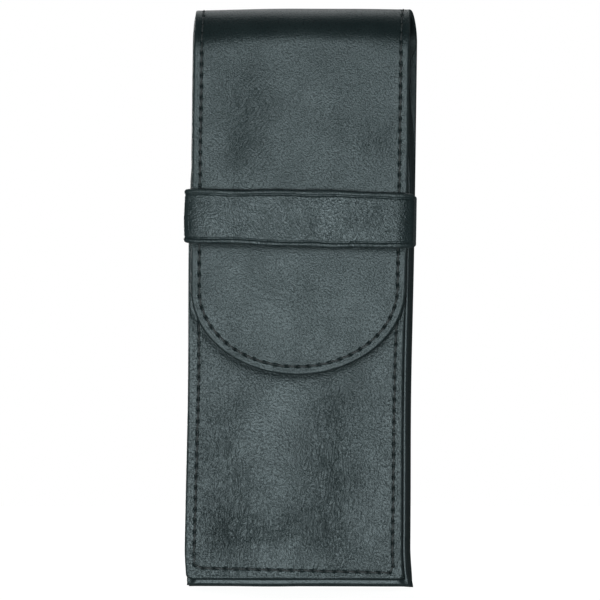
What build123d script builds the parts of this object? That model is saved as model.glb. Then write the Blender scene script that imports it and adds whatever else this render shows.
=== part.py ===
"""Slim leather case for three pens.

A flat pocket with a pleated gusset, a flap that folds over the top and tucks its
round tongue under a fixed cross band. The case stands on its bottom edge: +Z runs
up its height, the front faces -Y and the width lies along X. The origin is the
middle of the outline's underside.
"""
import math
import os

from build123d import *

# Outline
case_height = 155.0
case_width = 60.0
front_width = 58.1
flap_width = 57.7
arch_radius = 9.5          # outer radius of the fold from the back over to the flap

# Leather, card and lining thicknesses
skin = 1.0
core = 0.6                 # layer that holds the card and, round the edge, the gusset flange
wall_lining = 0.4
flap_lining_thickness = 0.8
flap_card_thickness = 0.4
band_lining_thickness = 0.6
clearance = 0.3            # air between layers that slide past each other

# Front panel
front_bottom = 2.4
mouth_height = 128.0
corner_radius = 1.5

# Gusset
flange_width = 6.0
pleat_depth = 3.2
gusset_wall = 0.9
gusset_front_top = 126.0
gusset_back_top = 134.0

# Cards and linings of the two walls
card_inset = flange_width + 0.3
lining_inset = 1.6
back_card_top = 143.0

# Pen compartments
divider_thickness = 0.8
divider_bottom = 4.4
divider_top = 118.0
divider_offset = 8.7

# Band across the front
band_bottom = 91.4
band_width = 14.7
band_skin = 1.0
band_side_gap = 0.2
band_corner = 3.0
band_tail = 5.0            # length of the ends let in between the back panel and the gusset

# Flap and tongue
tongue_top = 107.0         # the flap hangs free above this height
tip_start = 79.7           # where the straight sides end and the round tip begins
tip_length = 22.7
flap_card_inset = 4.0

# Fold of the flap: five stretches of leather with four bending lines between them
bend_angles = [22.5, 67.5, 112.5, 157.5]
bend_gap = 0.2
crown_names = ["crown_rear", "crown_top", "crown_front"]

# Stitched seams, each a thread lying in a pressed groove
seam_inset = 2.2
bottom_seam_inset = 1.8
thread_width = 0.5
thread_depth = 0.25

# Depth of each layer, from the back face to the front of the band
total_depth = 2 * arch_radius + clearance + band_lining_thickness + band_skin
back_outer = total_depth / 2
back_core_rear = back_outer - skin
back_lining_rear = back_core_rear - core
pocket_rear = back_lining_rear - wall_lining
arch_y = back_outer - arch_radius
arch_z = case_height - arch_radius
flap_outer = back_outer - 2 * arch_radius
flap_thickness = skin + flap_lining_thickness
flap_inner = flap_outer + flap_thickness
front_outer = flap_inner + clearance
front_core_front = front_outer + skin
front_lining_front = front_core_front + core
pocket_front = front_lining_front + wall_lining
band_inner = flap_outer - clearance
band_seam = band_inner - band_lining_thickness
band_outer = band_seam - band_skin
lining_radius = arch_radius - skin
inner_radius = arch_radius - flap_thickness
half_gap_angle = math.degrees(bend_gap / 2 / arch_radius)

os.makedirs("parts", exist_ok=True)


def at_depth(y):
    """Upright plane at depth y, with its normal towards the front."""
    return Plane.XZ.offset(-y)


def save(piece, name):
    """Label a finished piece and write it under its own name."""
    piece.part.label = name
    export_step(piece.part, f"parts/{name}.step")


def sheet(y, half_width, bottom, top, corner=0.0):
    """Upright rectangle at depth y, with its two lower corners rounded."""
    with BuildSketch(at_depth(y)) as outline:
        with Locations((0, (bottom + top) / 2)):
            Rectangle(2 * half_width, top - bottom)
        if corner > 0:
            fillet(outline.vertices().group_by(Axis.Z)[0], corner)
    return outline.sketch


def seam_u(y, half_width, bottom, top):
    """U-shaped seam line at depth y, open at the top."""
    half_thread = thread_width / 2
    with BuildSketch(at_depth(y)) as line:
        add(sheet(y, half_width + half_thread, bottom - half_thread, top))
        add(sheet(y, half_width - half_thread, bottom + half_thread, top), mode=Mode.SUBTRACT)
    return line.sketch


def seam_sides(y, half_width, bottom, top):
    """Two upright seam lines at depth y."""
    with BuildSketch(at_depth(y)) as line:
        with Locations((-half_width, (bottom + top) / 2), (half_width, (bottom + top) / 2)):
            Rectangle(thread_width, top - bottom)
    return line.sketch


def arch_section(outer_radius, inner_edge, start, end):
    """Part of the fold's section, between two radii and two angles from the back."""
    with BuildSketch(Plane.YZ) as section_face:
        with BuildLine():
            outer = CenterArc((arch_y, arch_z), outer_radius, start, end - start)
            inner = CenterArc((arch_y, arch_z), inner_edge, start, end - start)
            Line(outer @ 0, inner @ 0)
            Line(outer @ 1, inner @ 1)
        make_face()
    return section_face.sketch


def tongue_face(y, inset):
    """Straight-sided tongue with a half-elliptic tip, drawn in from its edge."""
    half_width = flap_width / 2 - inset
    with BuildSketch(at_depth(y)) as outline:
        with BuildLine():
            Polyline(
                (-half_width, tip_start),
                (-half_width, tongue_top),
                (half_width, tongue_top),
                (half_width, tip_start),
            )
            EllipticalCenterArc(
                (0, tip_start), half_width, tip_length - inset, start_angle=180, arc_size=180
            )
        make_face()
    return outline.sketch


# Outline of the fold seen from above: it narrows from the back to the flap.
with BuildPart() as crown_plan:
    with BuildSketch(Plane.XY.offset(arch_z - 1)):
        with BuildLine():
            Polyline(
                (-case_width / 2, back_outer),
                (case_width / 2, back_outer),
                (flap_width / 2, flap_outer),
                (-flap_width / 2, flap_outer),
                close=True,
            )
        make_face()
    extrude(amount=arch_radius + 2)

# The two seam lines of the fold, which follow its narrowing edges.
seam_plans = []
for side in (-1, 1):
    with BuildPart() as seam_plan:
        with BuildSketch(Plane.XY.offset(arch_z - 1)):
            with BuildLine():
                Polyline(
                    (side * (case_width / 2 - seam_inset - thread_width / 2), back_outer),
                    (side * (case_width / 2 - seam_inset + thread_width / 2), back_outer),
                    (side * (flap_width / 2 - seam_inset + thread_width / 2), flap_outer),
                    (side * (flap_width / 2 - seam_inset - thread_width / 2), flap_outer),
                    close=True,
                )
            make_face()
        extrude(amount=arch_radius + 2)
    seam_plans.append(seam_plan.part)


def arch_piece(outer_radius, inner_edge, start, end):
    """A stretch of the fold, cut to the fold's outline."""
    with BuildPart() as piece:
        extrude(arch_section(outer_radius, inner_edge, start, end), amount=case_width, both=True)
        add(crown_plan.part, mode=Mode.INTERSECT)
    return piece.part


def arch_threads(start, end):
    """The two threads on a stretch of the fold."""
    threads = []
    for plan in seam_plans:
        with BuildPart() as thread:
            section_face = arch_section(arch_radius, arch_radius - thread_depth, start, end)
            extrude(section_face, amount=case_width, both=True)
            add(plan, mode=Mode.INTERSECT)
        threads.append(thread.part)
    return threads


# Back wall. Its skin and lining run on into the first stretch of the fold.
first_bend = bend_angles[0] - half_gap_angle
back_seam_half = case_width / 2 - seam_inset

with BuildPart() as back_thread:
    extrude(seam_u(back_outer, back_seam_half, bottom_seam_inset, arch_z), amount=thread_depth)
    for thread_piece in arch_threads(0, first_bend):
        add(thread_piece)
save(back_thread, "back_thread")

with BuildPart() as back_skin:
    extrude(sheet(back_outer, case_width / 2, 0, arch_z, corner_radius), amount=skin)
    add(arch_piece(arch_radius, lining_radius, 0, first_bend))
    add(back_thread.part, mode=Mode.SUBTRACT)
save(back_skin, "back_skin")

with BuildPart() as back_card:
    extrude(sheet(back_core_rear, case_width / 2 - card_inset, card_inset, back_card_top), amount=core)
save(back_card, "back_card")

with BuildPart() as back_lining:
    extrude(
        sheet(back_lining_rear, case_width / 2 - lining_inset, front_bottom, arch_z),
        amount=wall_lining,
    )
    add(arch_piece(lining_radius, inner_radius, 0, first_bend))
save(back_lining, "back_lining")

# Gusset: one strip round the sides and the bottom, pleated inwards along its middle.
with BuildPart() as gusset:
    with BuildLine():
        edge_path = Polyline(
            (case_width / 2, 0, gusset_back_top),
            (case_width / 2, 0, 0),
            (-case_width / 2, 0, 0),
            (-case_width / 2, 0, gusset_back_top),
        )
    with BuildSketch(Plane.XY.offset(gusset_back_top)):
        with BuildLine():
            fold_x = case_width / 2
            flange_x = fold_x - flange_width
            pleat_y = (front_core_front + back_core_rear) / 2
            Polyline(
                (flange_x, front_core_front),
                (fold_x, front_core_front),
                (fold_x, front_lining_front),
                (fold_x - pleat_depth, pleat_y),
                (fold_x, back_lining_rear),
                (fold_x, back_core_rear),
                (flange_x, back_core_rear),
                (flange_x, back_lining_rear),
                (fold_x - gusset_wall, back_lining_rear),
                (fold_x - pleat_depth - gusset_wall, pleat_y),
                (fold_x - gusset_wall, front_lining_front),
                (flange_x, front_lining_front),
                close=True,
            )
        make_face()
    sweep(path=edge_path, transition=Transition.RIGHT)
    with BuildSketch(Plane.YZ):
        with BuildLine():
            Polyline(
                (front_core_front - 1, gusset_front_top),
                (back_core_rear + 1, gusset_back_top),
                (back_core_rear + 1, case_height),
                (front_core_front - 1, case_height),
                close=True,
            )
        make_face()
    extrude(amount=case_width, both=True, mode=Mode.SUBTRACT)
    with BuildSketch(Plane.XY.offset(band_bottom)):
        for side in (-1, 1):
            with Locations((side * (fold_x - band_tail / 2), (back_core_rear + back_lining_rear) / 2)):
                Rectangle(band_tail, core)
    extrude(amount=band_width, mode=Mode.SUBTRACT)
save(gusset, "gusset")

# Front wall
front_seam_half = front_width / 2 - seam_inset
mouth_seam_height = mouth_height - seam_inset

with BuildPart() as front_thread:
    seam_bottom = front_bottom + bottom_seam_inset
    extrude(
        seam_u(front_outer + thread_depth, front_seam_half, seam_bottom, mouth_height),
        amount=thread_depth,
    )
save(front_thread, "front_thread")

with BuildPart() as mouth_thread:
    mouth_seam_half = front_seam_half - thread_width
    extrude(
        sheet(
            front_outer + thread_depth,
            mouth_seam_half,
            mouth_seam_height - thread_width / 2,
            mouth_seam_height + thread_width / 2,
        ),
        amount=thread_depth,
    )
save(mouth_thread, "mouth_thread")

with BuildPart() as front_skin:
    extrude(
        sheet(front_core_front, front_width / 2, front_bottom, mouth_height, corner_radius),
        amount=skin,
    )
    add(front_thread.part, mode=Mode.SUBTRACT)
    add(mouth_thread.part, mode=Mode.SUBTRACT)
save(front_skin, "front_skin")

with BuildPart() as front_card:
    extrude(
        sheet(front_lining_front, case_width / 2 - card_inset, card_inset, mouth_height - 1),
        amount=core,
    )
save(front_card, "front_card")

with BuildPart() as front_lining:
    extrude(
        sheet(pocket_front, case_width / 2 - lining_inset, front_bottom, mouth_height),
        amount=wall_lining,
    )
save(front_lining, "front_lining")

# Dividers between the three pen compartments
for side, name in ((-1, "divider_left"), (1, "divider_right")):
    with BuildPart() as divider:
        with BuildSketch(Plane.XY.offset(divider_bottom)):
            with Locations((side * divider_offset, (pocket_front + pocket_rear) / 2)):
                Rectangle(divider_thickness, pocket_rear - pocket_front)
        extrude(amount=divider_top - divider_bottom)
    save(divider, name)

# Band: across the front, round both sides, and into the seams of the back panel
band_inner_half = case_width / 2 + band_side_gap
band_outer_half = band_inner_half + band_skin
band_inner_corner = band_corner - band_skin

with BuildPart() as band_lining_piece:
    with BuildSketch(Plane.XY.offset(band_bottom)) as lining_plan:
        with Locations((0, (band_inner + band_seam) / 2)):
            Rectangle(2 * band_inner_half, band_lining_thickness)
        with BuildSketch(mode=Mode.INTERSECT) as corner_limit:
            with Locations((0, band_seam + total_depth / 2)):
                RectangleRounded(2 * band_inner_half, total_depth, band_inner_corner)
    extrude(amount=band_width)
save(band_lining_piece, "band_lining")

with BuildPart() as band:
    with BuildSketch(Plane.XY.offset(band_bottom)) as band_plan:
        with Locations((0, band_outer + total_depth / 2)):
            RectangleRounded(2 * band_outer_half, total_depth, band_corner)
        with Locations((0, band_seam + total_depth / 2)):
            RectangleRounded(
                2 * band_inner_half, total_depth, band_inner_corner, mode=Mode.SUBTRACT
            )
        with Locations((0, back_core_rear + total_depth / 2)):
            Rectangle(3 * band_outer_half, total_depth, mode=Mode.SUBTRACT)
        tail_length = band_tail + band_side_gap + band_skin
        for side in (-1, 1):
            tail_x = side * (band_outer_half - tail_length / 2)
            with Locations((tail_x, (back_core_rear + back_lining_rear) / 2)):
                Rectangle(tail_length, core)
    extrude(amount=band_width)
save(band, "band_skin")

# Crown: three strips of leather and lining between the four bending lines
for index, name in enumerate(crown_names):
    strip_start = bend_angles[index] + half_gap_angle
    strip_end = bend_angles[index + 1] - half_gap_angle

    with BuildPart() as crown_thread:
        for thread_piece in arch_threads(strip_start, strip_end):
            add(thread_piece)
    save(crown_thread, f"{name}_thread")

    with BuildPart() as crown_skin:
        add(arch_piece(arch_radius, lining_radius, strip_start, strip_end))
        add(crown_thread.part, mode=Mode.SUBTRACT)
    save(crown_skin, f"{name}_skin")

    with BuildPart() as crown_lining:
        add(arch_piece(lining_radius, inner_radius, strip_start, strip_end))
    save(crown_lining, f"{name}_lining")

# Flap: the free stretch of leather between the fold and the band
last_bend = bend_angles[-1] + half_gap_angle
flap_half = flap_width / 2
flap_seam_half = flap_half - seam_inset
flap_seam_rear = flap_outer + thread_depth
card_front = flap_outer + skin
card_rear = card_front + flap_card_thickness

with BuildPart() as flap_thread:
    extrude(seam_sides(flap_seam_rear, flap_seam_half, tongue_top, arch_z), amount=thread_depth)
    for thread_piece in arch_threads(last_bend, 180):
        add(thread_piece)
save(flap_thread, "flap_thread")

with BuildPart() as flap_skin:
    extrude(sheet(card_front, flap_half, tongue_top, arch_z), amount=skin)
    add(arch_piece(arch_radius, lining_radius, last_bend, 180))
    add(flap_thread.part, mode=Mode.SUBTRACT)
save(flap_skin, "flap_skin")

with BuildPart() as flap_card:
    extrude(
        sheet(card_rear, flap_half - flap_card_inset, tongue_top, arch_z - 2),
        amount=flap_card_thickness,
    )
save(flap_card, "flap_card")

with BuildPart() as flap_lining:
    extrude(sheet(flap_inner, flap_half, tongue_top, arch_z), amount=flap_lining_thickness)
    add(arch_piece(lining_radius, inner_radius, last_bend, 180))
    add(flap_card.part, mode=Mode.SUBTRACT)
save(flap_lining, "flap_lining")

# Tongue: the rounded end of the flap, which passes under the band
with BuildPart() as tongue_thread:
    with BuildSketch(at_depth(flap_seam_rear)) as tongue_seam:
        add(tongue_face(flap_seam_rear, seam_inset - thread_width / 2))
        add(tongue_face(flap_seam_rear, seam_inset + thread_width / 2), mode=Mode.SUBTRACT)
    extrude(amount=thread_depth)
save(tongue_thread, "tongue_thread")

with BuildPart() as tongue_skin:
    extrude(tongue_face(card_front, 0), amount=skin)
    add(tongue_thread.part, mode=Mode.SUBTRACT)
save(tongue_skin, "tongue_skin")

with BuildPart() as tongue_card:
    extrude(tongue_face(card_rear, flap_card_inset), amount=flap_card_thickness)
save(tongue_card, "tongue_card")

with BuildPart() as tongue_lining:
    extrude(tongue_face(flap_inner, 0), amount=flap_lining_thickness)
    add(tongue_card.part, mode=Mode.SUBTRACT)
save(tongue_lining, "tongue_lining")
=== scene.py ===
"""Looks of the slim leather pen case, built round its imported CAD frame.

Every leather layer is a closed sheet: a grid of points laid out flat, with its edges
turned over and its seams pressed in, and then wrapped round the case.
"""
import math

import bmesh
import bpy
import numpy as np
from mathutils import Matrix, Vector


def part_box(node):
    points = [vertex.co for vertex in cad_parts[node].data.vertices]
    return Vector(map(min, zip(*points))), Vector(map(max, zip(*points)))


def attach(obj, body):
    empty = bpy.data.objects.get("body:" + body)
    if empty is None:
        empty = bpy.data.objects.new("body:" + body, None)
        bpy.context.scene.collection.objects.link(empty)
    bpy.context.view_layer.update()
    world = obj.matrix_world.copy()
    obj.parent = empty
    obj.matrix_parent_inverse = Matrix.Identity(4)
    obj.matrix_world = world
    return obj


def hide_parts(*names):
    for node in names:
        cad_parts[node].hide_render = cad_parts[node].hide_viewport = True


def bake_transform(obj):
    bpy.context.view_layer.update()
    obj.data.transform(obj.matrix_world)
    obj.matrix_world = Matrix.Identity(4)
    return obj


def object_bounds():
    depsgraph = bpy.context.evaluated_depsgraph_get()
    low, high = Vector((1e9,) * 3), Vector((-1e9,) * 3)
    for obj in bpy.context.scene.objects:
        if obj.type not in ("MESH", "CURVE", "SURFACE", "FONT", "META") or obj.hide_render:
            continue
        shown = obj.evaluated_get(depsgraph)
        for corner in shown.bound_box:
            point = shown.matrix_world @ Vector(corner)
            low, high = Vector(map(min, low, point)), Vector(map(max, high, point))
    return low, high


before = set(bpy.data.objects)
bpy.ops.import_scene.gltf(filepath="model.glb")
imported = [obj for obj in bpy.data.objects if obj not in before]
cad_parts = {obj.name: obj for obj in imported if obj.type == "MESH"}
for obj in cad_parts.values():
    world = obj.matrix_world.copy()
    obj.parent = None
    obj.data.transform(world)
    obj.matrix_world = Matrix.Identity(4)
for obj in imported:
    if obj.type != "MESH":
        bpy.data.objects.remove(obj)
cad_low, cad_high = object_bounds()

MM = 0.001
TAU = 2 * math.pi

# ---- sizes, from the frame
back_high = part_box("back_skin")[1]
back_lining_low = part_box("back_lining")[0]
back_card_low, back_card_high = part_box("back_card")
front_low, front_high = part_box("front_skin")
front_lining_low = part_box("front_lining")[0]
gusset_low, gusset_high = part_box("gusset")
band_low, band_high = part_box("band_skin")
band_lining_low, band_lining_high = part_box("band_lining")
tongue_low, tongue_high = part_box("tongue_skin")
tongue_card_low, tongue_card_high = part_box("tongue_card")
tongue_lining_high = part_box("tongue_lining")[1]

case_top = cad_high.z
back_outer = back_high.y
flap_outer = tongue_low.y
case_half = back_high.x
flap_half = tongue_high.x
arch_radius = (back_outer - flap_outer) / 2
arch_y = back_outer - arch_radius
arch_z = case_top - arch_radius
skin = tongue_high.y - tongue_low.y
flap_lining = tongue_lining_high.y - tongue_high.y
tip_width = flap_half
tip_length = 22.7 * MM
tip_top = tongue_low.z + tip_length
arch_length = math.pi * arch_radius
flap_top = arch_z + arch_length  # where the flap leaves the fold, along the leather
flap_end = flap_top + arch_z - tongue_low.z  # the tip, along the leather

STITCH = 2.95 * MM
BAND_TILT = 0.0225  # the band lies a little askew
SEAM_INSET = 2.25 * MM
SEAM_ZONE = 3.6 * MM  # how far in from an edge the meshes stay fine
FINE = 0.17 * MM  # grid step over a seam
SHARP = math.radians(50)  # a sharper edge isn't shaded smooth
LEAN = 0.0130  # the soft case leans a little to one side

# each stretch that bends: the two bodies it joins, and where it lies on the fold in degrees
BENDS = {
    "rear": ("root", "crown_rear", 0, 45),
    "top_rear": ("crown_rear", "crown_top", 45, 90),
    "top_front": ("crown_top", "crown_front", 90, 135),
    "front": ("crown_front", "flap", 135, 180),
}


# ---- flat sheets to space
def leaned(points):
    """The soft case leans a little, is drawn in above its foot and kicks out at the foot."""
    z = points[..., 2]
    waist = 1 - 0.012 * np.exp(-((z - 52 * MM) / (28 * MM)) ** 2)
    kick = 0.6 * MM * soft_step(1 - z / (11 * MM))
    points[..., 0] = points[..., 0] * waist + LEAN * (z - case_top / 2) + kick
    return points


def stack(x, y, z):
    """Points from their three coordinates, leaned with the case."""
    return leaned(np.stack(np.broadcast_arrays(x, y, z), -1).astype(float))


def unit(vectors):
    """Vectors scaled to length 1."""
    return vectors / np.linalg.norm(vectors, axis=-1, keepdims=True)


def lengths_along(points):
    """How far along a line each of its points lies."""
    steps = np.linalg.norm(np.diff(points, axis=0), axis=1)
    return np.concatenate([[0], np.cumsum(steps)])


def soft_step(value):
    """0 below 0, 1 above 1 and a smooth rise between."""
    value = np.clip(value, 0, 1)
    return value * value * (3 - 2 * value)


def fold_pinch(v):
    """How far into the fold a point is: 0 on the flat, 1 at the crest."""
    angle = np.clip((v - arch_z) / arch_radius, 0, math.pi)
    return np.sin(angle) ** 2


def fold_droop(x, v):
    """How far the fold sinks inside its round: most at the sides, where it bends to the flap."""
    share = x / case_half
    crest = soft_step((v - arch_z) / (9 * MM)) * soft_step((flap_top + 2 * MM - v) / (13 * MM))
    shoulder = soft_step((v - flap_top + 13 * MM) / (9 * MM))
    shoulder = shoulder * soft_step((flap_top + 2.4 * MM - v) / (7 * MM))
    side = np.abs(share) ** 1.5 * (0.85 - 0.08 * share)
    return MM * (crest * (0.42 - 0.10 * share) * share ** 2 + shoulder * (side - 0.12))


def shell_place(x, v, depth):
    """Outer leather: v runs up the back, over the fold and down the flap."""
    angle = np.clip((v - arch_z) / arch_radius, 0, math.pi)
    radius = arch_radius - depth - fold_droop(x, v)
    y = arch_y + radius * np.cos(angle)
    z = arch_z + radius * np.sin(angle)
    z = z + np.minimum(v - arch_z, 0) - np.maximum(v - flap_top, 0)
    backward = (1 + np.cos(angle)) / 2
    x = x * (1 + 0.007 * backward - 0.018 * fold_pinch(v)) - 0.15 * MM * backward
    return stack(x, y, z)


def shell_half_width(v):
    """The leather narrows from the back to the flap."""
    share = np.clip((v - arch_z) / arch_length, 0, 1)
    depth_share = (1 - np.cos(share * math.pi)) / 2
    return case_half + (flap_half - case_half) * depth_share


def front_place(x, v, depth):
    """Front panel: v runs down from the pocket's mouth. Its left margin reaches the case's side."""
    margin = 0.65 * MM * soft_step((-x - 26.9 * MM) / (2.1 * MM))
    margin = margin * soft_step((v - 25 * MM) / (12 * MM))
    return stack(x - 0.22 * MM * (1 + x / case_half) - margin, front_low.y + depth, front_high.z - v)


def rounded_steps(low, high, step):
    """Even steps from low to high, of about the given size."""
    count = max(1, int(round((high - low) / step)))
    return np.linspace(low, high, count + 1)


def from_edge(limit, fine_to, fine, step):
    """Distances in from an edge: very fine over its turn, fine over the seam, then coarse."""
    turn = np.array([0, 0.02, 0.07, 0.15, 0.27, 0.42, 0.6]) * MM
    seam = rounded_steps(0.6 * MM + fine, fine_to, fine)
    rest = rounded_steps(fine_to + step, limit, step) if limit > fine_to + step else [limit]
    return np.concatenate([turn, seam, rest])


def across(half, fine, step):
    """Column positions from -1 to 1 of the half-width."""
    left = from_edge(half, SEAM_ZONE, fine, step) - half
    return np.concatenate([left[:-1], -left[::-1]]) / half


def along(length, step, start_edge, end_edge, fine, fine_to=SEAM_ZONE):
    """Row positions from 0 to length, fine at an end that is a real edge."""
    inward = from_edge(fine_to + 1e-6, fine_to, fine, 1.0)[:-1]
    low = inward if start_edge else np.array([0.0])
    high = length - inward[::-1] if end_edge else np.array([length])
    middle = rounded_steps(low[-1], high[0], step)[1:-1]
    return np.concatenate([low, middle, high])


class Outline:
    """A flat sheet's outline: straight sides, with elliptic corners at its ends."""

    def __init__(self, half, length, start_edge, end_edge, start_corner, end_corner):
        self.half = half
        self.length = length
        self.start_edge = start_edge
        self.end_edge = end_edge
        self.start_corner = start_corner
        self.end_corner = end_corner

    def _round(self, x, v, half, corner, at_end):
        """Points pulled in from a square corner to its ellipse, and their distances from it."""
        rx, rv = corner
        side = np.sign(x)
        a = (np.abs(x) - (half - rx)) / rx
        b = ((v - (self.length - rv)) if at_end else (rv - v)) / rv
        inside = (a > 0) & (b > 0)
        largest = np.maximum(a, b)
        reach = np.maximum(np.hypot(a, b), 1e-12)
        scale = np.where(inside, largest / reach, 1.0)
        nx = side * ((half - rx) + a * scale * rx)
        shift = b * scale * rv
        nv = (self.length - rv + shift) if at_end else (rv - shift)
        slope = np.hypot(a * scale / rx, b * scale / rv) / np.maximum(largest, 1e-9)
        distance = (1 - largest) / np.maximum(slope, 1e-9)
        return np.where(inside, nx, x), np.where(inside, nv, v), inside, distance

    def lay(self, columns, rows):
        """Flat x, v and distance from the nearest real edge, for each grid point."""
        v, share = np.meshgrid(rows, columns, indexing="ij")
        half = self.half(v) if callable(self.half) else self.half + 0 * v
        x = share * half
        distance = half - np.abs(x)
        if self.end_edge:
            distance = np.minimum(distance, self.length - v)
        if self.start_edge:
            distance = np.minimum(distance, v)
        for real_edge, corner, at_end in ((self.end_edge, self.end_corner, True),
                                          (self.start_edge, self.start_corner, False)):
            if real_edge:
                x, v, inside, corner_distance = self._round(x, v, half, corner, at_end)
                distance = np.where(inside, corner_distance, distance)
        return x, v, np.maximum(distance, 0)


# ---- relief
def waves(x, v, size, seed, count=10, stretch=(1, 1)):
    """Smooth random relief with bumps of about the given size, between about -1 and 1."""
    source = np.random.default_rng(seed)
    total = 0 * x
    for _ in range(count):
        turn = source.uniform(0, TAU)
        number = TAU / size * source.uniform(0.6, 1.5)
        phase = source.uniform(0, TAU)
        total = total + np.sin(
            number * (math.cos(turn) * x / stretch[0] + math.sin(turn) * v / stretch[1]) + phase
        )
    return total / math.sqrt(count)


def bump(x, v, at, reach):
    """A soft round or oval hill of height 1."""
    return np.exp(-((x - at[0]) / reach[0]) ** 2 - ((v - at[1]) / reach[1]) ** 2)


def creases(x, v, angle, spacing, seed):
    """Fine wavering creases along one direction: sharp valleys between soft ridges."""
    along_it = x * math.cos(angle) + v * math.sin(angle)
    over_it = -x * math.sin(angle) + v * math.cos(angle)
    drift = spacing * waves(x, v, 9 * spacing, seed)
    strength = 0.5 + 0.5 * waves(along_it, over_it, 7 * spacing, seed + 1, stretch=(2.2, 1))
    fold = np.abs(np.sin(math.pi * (over_it + drift) / spacing))
    return (fold ** 0.6 - 0.7) * np.clip(strength, 0, 1)


def hills(x, down, *patches):
    """Adds up soft hills, each given as its height, its middle in mm and its reach in mm."""
    total = 0 * x
    for height, (mid_x, mid_down), (reach_x, reach_down) in patches:
        middle = (mid_x * MM, mid_down * MM)
        total = total + height * bump(x, down, middle, (reach_x * MM, reach_down * MM))
    return total


def crease_patches(x, v, down, *patches):
    """Adds up patches of creases: height, middle, reach and spacing in mm, lie in degrees, seed."""
    total = 0 * x
    for height, middle, reach, spacing, lie, seed in patches:
        lines = creases(x, v, math.radians(lie), spacing * MM, seed)
        total = total + MM * hills(x, down, (height, middle, reach)) * lines
    return total


class Seam:
    """A line of stitches on a flat sheet, with its holes evenly spaced."""

    def __init__(self, points, pitch=STITCH):
        self.points = np.array(points, float)
        self.reach = lengths_along(self.points)
        count = max(1, int(round(self.reach[-1] / pitch)))
        self.holes = np.array([self.at(s) for s in np.linspace(0, self.reach[-1], count + 1)])

    def at(self, s):
        """The flat point at a length along the seam."""
        return [np.interp(s, self.reach, self.points[:, k]) for k in (0, 1)]

    def distance(self, x, v):
        """How far flat points are from the seam's line."""
        best = np.full(x.shape, 1.0)
        for a, b in zip(self.points[:-1], self.points[1:]):
            run = b - a
            share = np.clip(((x - a[0]) * run[0] + (v - a[1]) * run[1]) / (run @ run), 0, 1)
            best = np.minimum(best, np.hypot(x - a[0] - share * run[0], v - a[1] - share * run[1]))
        return best

    def pits(self, x, v, width, length):
        """Needle holes, pulled long in the direction of the seam."""
        total = 0 * x
        ahead = unit(np.gradient(self.holes, axis=0))
        for hole, run in zip(self.holes, ahead):
            near = np.abs(v - hole[1]) < 4 * length
            dx, dv = x[near] - hole[0], v[near] - hole[1]
            total[near] += np.exp(-((dx * run[0] + dv * run[1]) / length) ** 2
                                  - ((dx * run[1] - dv * run[0]) / width) ** 2)
        return np.minimum(total, 1)

    def relief(self, x, v):
        """The pressed groove, the needle holes and the leather puffed up on both sides."""
        away = self.distance(x, v)
        groove = -0.06 * MM * np.exp(-(away / (0.30 * MM)) ** 2)
        shoulder = 0.02 * MM * np.exp(-((away - 0.9 * MM) / (0.45 * MM)) ** 2)
        return groove + shoulder - 0.55 * MM * self.pits(x, v, 0.26 * MM, 0.42 * MM)


def edge_turn(distance, thickness, share):
    """Depths of the front and the back surface near an edge that is turned over."""
    outer = thickness * share
    inner = thickness - outer
    a = np.clip(1 - distance / outer, 0, 1)
    b = np.clip(1 - distance / inner, 0, 1)
    front = outer * (1 - np.sqrt(1 - a ** 2))
    back = thickness - inner * (1 - np.sqrt(1 - b ** 2))
    return front, back


def edge_crease(distance, at):
    """The creased line that is run along a turned edge, and the bead outside it."""
    line = -0.035 * MM * np.exp(-((distance - at) / (0.16 * MM)) ** 2)
    bead = 0.03 * MM * np.exp(-((distance - 0.65 * MM) / (0.4 * MM)) ** 2)
    return line + bead


# ---- meshes
def linked(name, mesh, material):
    """A new object in the scene for a mesh of one material."""
    mesh.materials.append(material)
    piece = bpy.data.objects.new(name, mesh)
    bpy.context.scene.collection.objects.link(piece)
    return piece


def lay_flat(mesh, flats):
    """Gives a mesh its points' flat sizes as UVs."""
    layer = mesh.uv_layers.new(name="flat")
    loops = np.empty(len(mesh.loops), np.int32)
    mesh.loops.foreach_get("vertex_index", loops)
    layer.data.foreach_set("uv", np.asarray(flats)[loops].astype(np.float32).ravel())


def clean(mesh, weld):
    """Turns faces outward and shades them smooth. Welding joins double points and keeps sharp edges."""
    editing = bmesh.new()
    editing.from_mesh(mesh)
    if weld:
        bmesh.ops.remove_doubles(editing, verts=editing.verts, dist=2e-6)
        bmesh.ops.dissolve_degenerate(editing, edges=editing.edges, dist=1e-7)
    bmesh.ops.recalc_face_normals(editing, faces=editing.faces)
    for face in editing.faces:
        face.smooth = True
    for edge in editing.edges if weld else ():
        if len(edge.link_faces) == 2 and edge.calc_face_angle(0) > SHARP:
            edge.smooth = False
    editing.to_mesh(mesh)
    editing.free()


def closed_faces(rows, columns):
    """Faces of a closed sheet: its front grid, its back grid and the rim between them."""
    count = rows * columns
    index = np.arange(count).reshape(rows, columns)
    a, b, c, d = index[:-1, :-1], index[:-1, 1:], index[1:, 1:], index[1:, :-1]
    front = np.stack([a, b, c, d], -1).reshape(-1, 4)
    ring = np.concatenate([index[0, :-1], index[:-1, -1], index[-1, :0:-1], index[:0:-1, 0]])
    after = np.roll(ring, -1)
    rim = np.stack([ring, ring + count, after + count, after], -1)
    return np.concatenate([front, front[:, ::-1] + count, rim]).tolist()


def closed_sheet(name, front, back, flat, wear_and_highlight, material, crumple=0.6):
    """A closed mesh between a front and a back grid of points."""
    points = np.concatenate([front.reshape(-1, 3), back.reshape(-1, 3)])
    mesh = bpy.data.meshes.new(name)
    mesh.from_pydata(points.tolist(), [], closed_faces(*front.shape[:2]))
    flats = flat.reshape(-1, 2)
    lay_flat(mesh, np.concatenate([flats, flats + [0.11, 0.07]]))
    for label, values in (("wear_and_highlight", wear_and_highlight), ("crumple", crumple + 0 * wear_and_highlight)):
        painted = mesh.attributes.new(label, "FLOAT", "POINT")
        painted.data.foreach_set("value", np.tile(values.ravel(), 2).astype(np.float32))
    clean(mesh, weld=True)
    return linked(name, mesh, material)


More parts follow.
